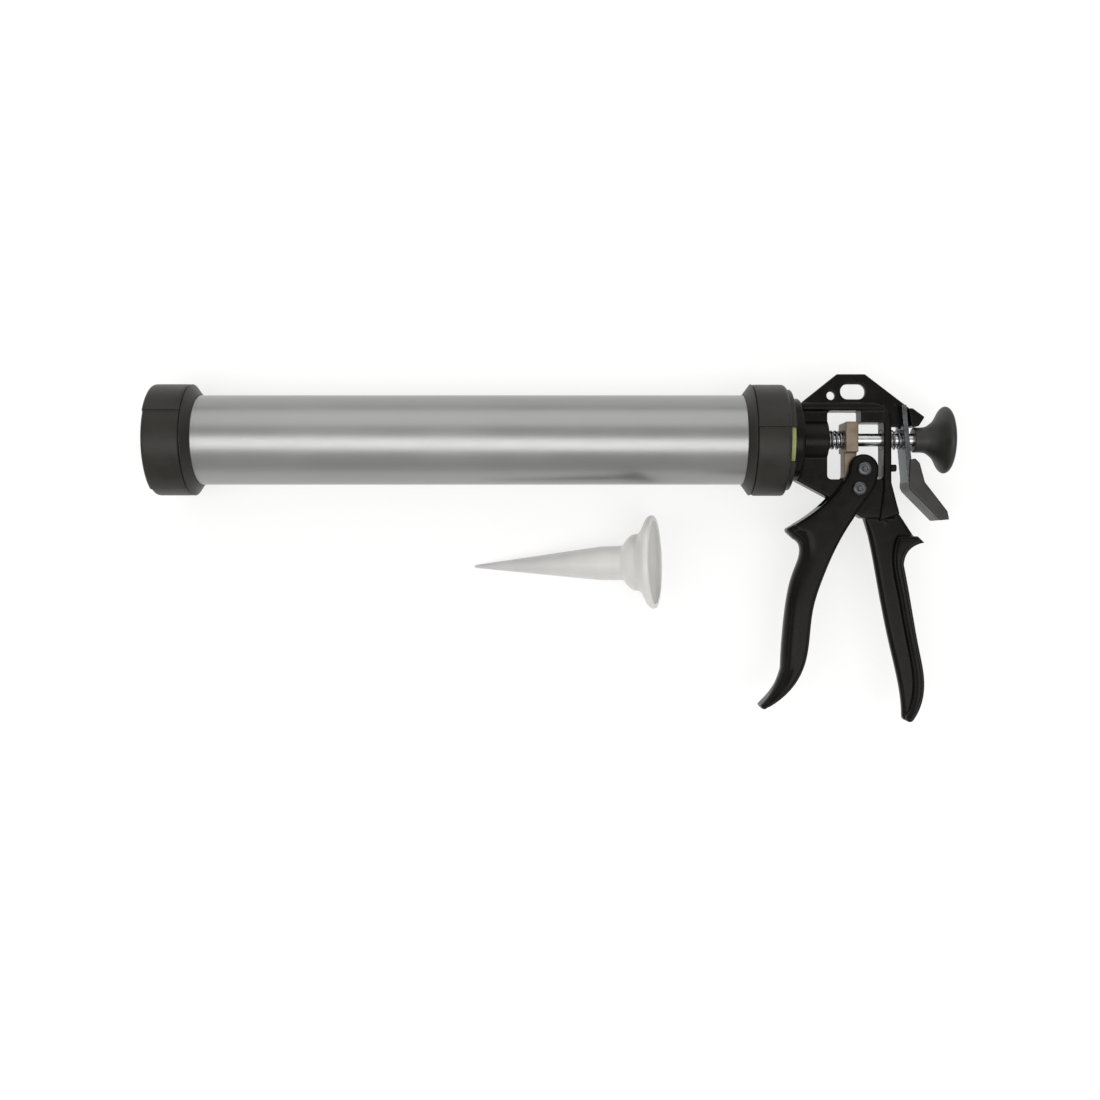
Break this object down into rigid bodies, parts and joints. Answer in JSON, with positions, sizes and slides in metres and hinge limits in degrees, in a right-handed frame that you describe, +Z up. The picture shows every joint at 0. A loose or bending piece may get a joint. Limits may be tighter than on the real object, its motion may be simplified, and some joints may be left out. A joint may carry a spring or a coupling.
{
  "type": "caulking gun",
  "caption": "Closed-barrel caulking gun for foil packs: screw cap, sliding rod with flared knob, squeeze trigger, drive and catch plates, hang fin and a loose cone nozzle.",
  "frame": {"origin": "on the barrel's axis, at the front face of the front cap's mouth", "axes": "+X along the barrel from the mouth to the knob, +Y from the barrel towards the hang fin (the handles hang to -Y), +Z up from the bench on which the gun lies on its side; Z = 0 is the gun's plane of symmetry"},
  "size_m": [0.48, 0.2103, 0.0686],
  "materials": {
    "anodised_tube": "satin anodised",
    "black_moulding": "fine moulded texture",
    "natural_plastic": "translucent natural polyethylene",
    "yellow_plastic": "moulded",
    "black_rubber": "matte",
    "black_paint": "glossy black enamel on die casting",
    "bush_brass": "oiled sintered bronze",
    "zinc_steel": "bright zinc plated",
    "dull_zinc": "dull zinc plated, oiled",
    "spring_steel": "drawn wire",
    "tan_steel": "tan phosphate coated steel",
    "grey_dip": "dark grey dipped plastic",
    "knob_moulding": "satin moulded",
    "piston_moulding": "moulded"
  },
  "bodies": {
    "handle": {"body_casting": "black_paint", "rod_bush_front": "bush_brass", "rod_bush_rear": "bush_brass", "catch_stop_screw": "black_paint", "trigger_pivot_rivet": "dull_zinc", "spring_washer": "dull_zinc", "drive_spring": "spring_steel", "catch_spring": "spring_steel", "barrel_gasket": "black_rubber", "collar_slip_ring": "yellow_plastic"},
    "collar": {"rear_collar": "black_moulding"},
    "barrel": {"barrel_tube": "anodised_tube", "front_thread_ring": "black_moulding", "rear_thread_ring": "black_moulding", "front_gasket": "black_rubber"},
    "slip_ring": {"cap_slip_ring": "natural_plastic"},
    "cap": {"front_cap": "black_moulding"},
    "rod": {"push_rod": "zinc_steel", "knob": "knob_moulding", "knob_insert": "bush_brass", "piston_cup": "piston_moulding", "piston_washer": "zinc_steel", "piston_nut": "zinc_steel"},
    "trigger": {"trigger": "black_paint", "drive_pin_rivet": "dull_zinc", "drive_roller": "dull_zinc"},
    "driver": {"drive_plate": "tan_steel"},
    "catch": {"catch_plate": "dull_zinc", "thumb_pad": "grey_dip"},
    "nozzle": {"nozzle": "natural_plastic"}
  },
  "joints": [
    {"name": "trigger_squeeze", "type": "hinge", "parent": "handle", "child": "trigger", "pos_m": [0.4235, -0.0298, 0], "axis": [0, 0, 1], "range_deg": [0, 24], "stiffness_Nm_per_rad": 0.9, "springref_deg": -14.32},
    {"name": "driver_advance", "type": "slide", "parent": "handle", "child": "driver", "axis": [-1, 0, 0], "range_m": [0, 0.0051], "deforming": ["drive_spring"]},
    {"name": "rod_pull", "type": "slide", "parent": "handle", "child": "rod", "axis": [1, 0, 0], "range_m": [0, 0.33]},
    {"name": "catch_release", "type": "hinge", "parent": "handle", "child": "catch", "pos_m": [0.4513, 0.012, 0], "axis": [0, 0, -1], "range_deg": [0, 4.5], "stiffness_Nm_per_rad": 1.2, "springref_deg": -5.73, "deforming": ["catch_spring"]},
    {"name": "collar_turn", "type": "hinge", "parent": "handle", "child": "collar", "pos_m": [0.37, 0, 0], "axis": [1, 0, 0], "range_deg": [0, 720]},
    {"name": "barrel_unscrew", "type": "slide", "parent": "handle", "child": "barrel", "axis": [-1, 0, 0], "range_m": [0, 0.0121]},
    {"name": "cap_turn", "type": "hinge", "parent": "slip_ring", "child": "cap", "pos_m": [0.01, 0, 0], "axis": [1, 0, 0], "range_deg": [0, 720]},
    {"name": "cap_unscrew", "type": "slide", "parent": "barrel", "child": "slip_ring", "axis": [-1, 0, 0], "range_m": [0, 0.0121]},
    {"name": "nozzle_lift", "type": "slide", "parent": "handle", "child": "nozzle", "axis": [0, 0, 1], "range_m": [0, 0.1]}
  ],
  "couplings": [
    {"joint": "driver_advance", "follows": "trigger_squeeze", "m_per_rad": 0.012128},
    {"joint": "barrel_unscrew", "follows": "collar_turn", "m_per_rad": 0.00095493},
    {"joint": "cap_unscrew", "follows": "cap_turn", "m_per_rad": 0.00095493}
  ]
}
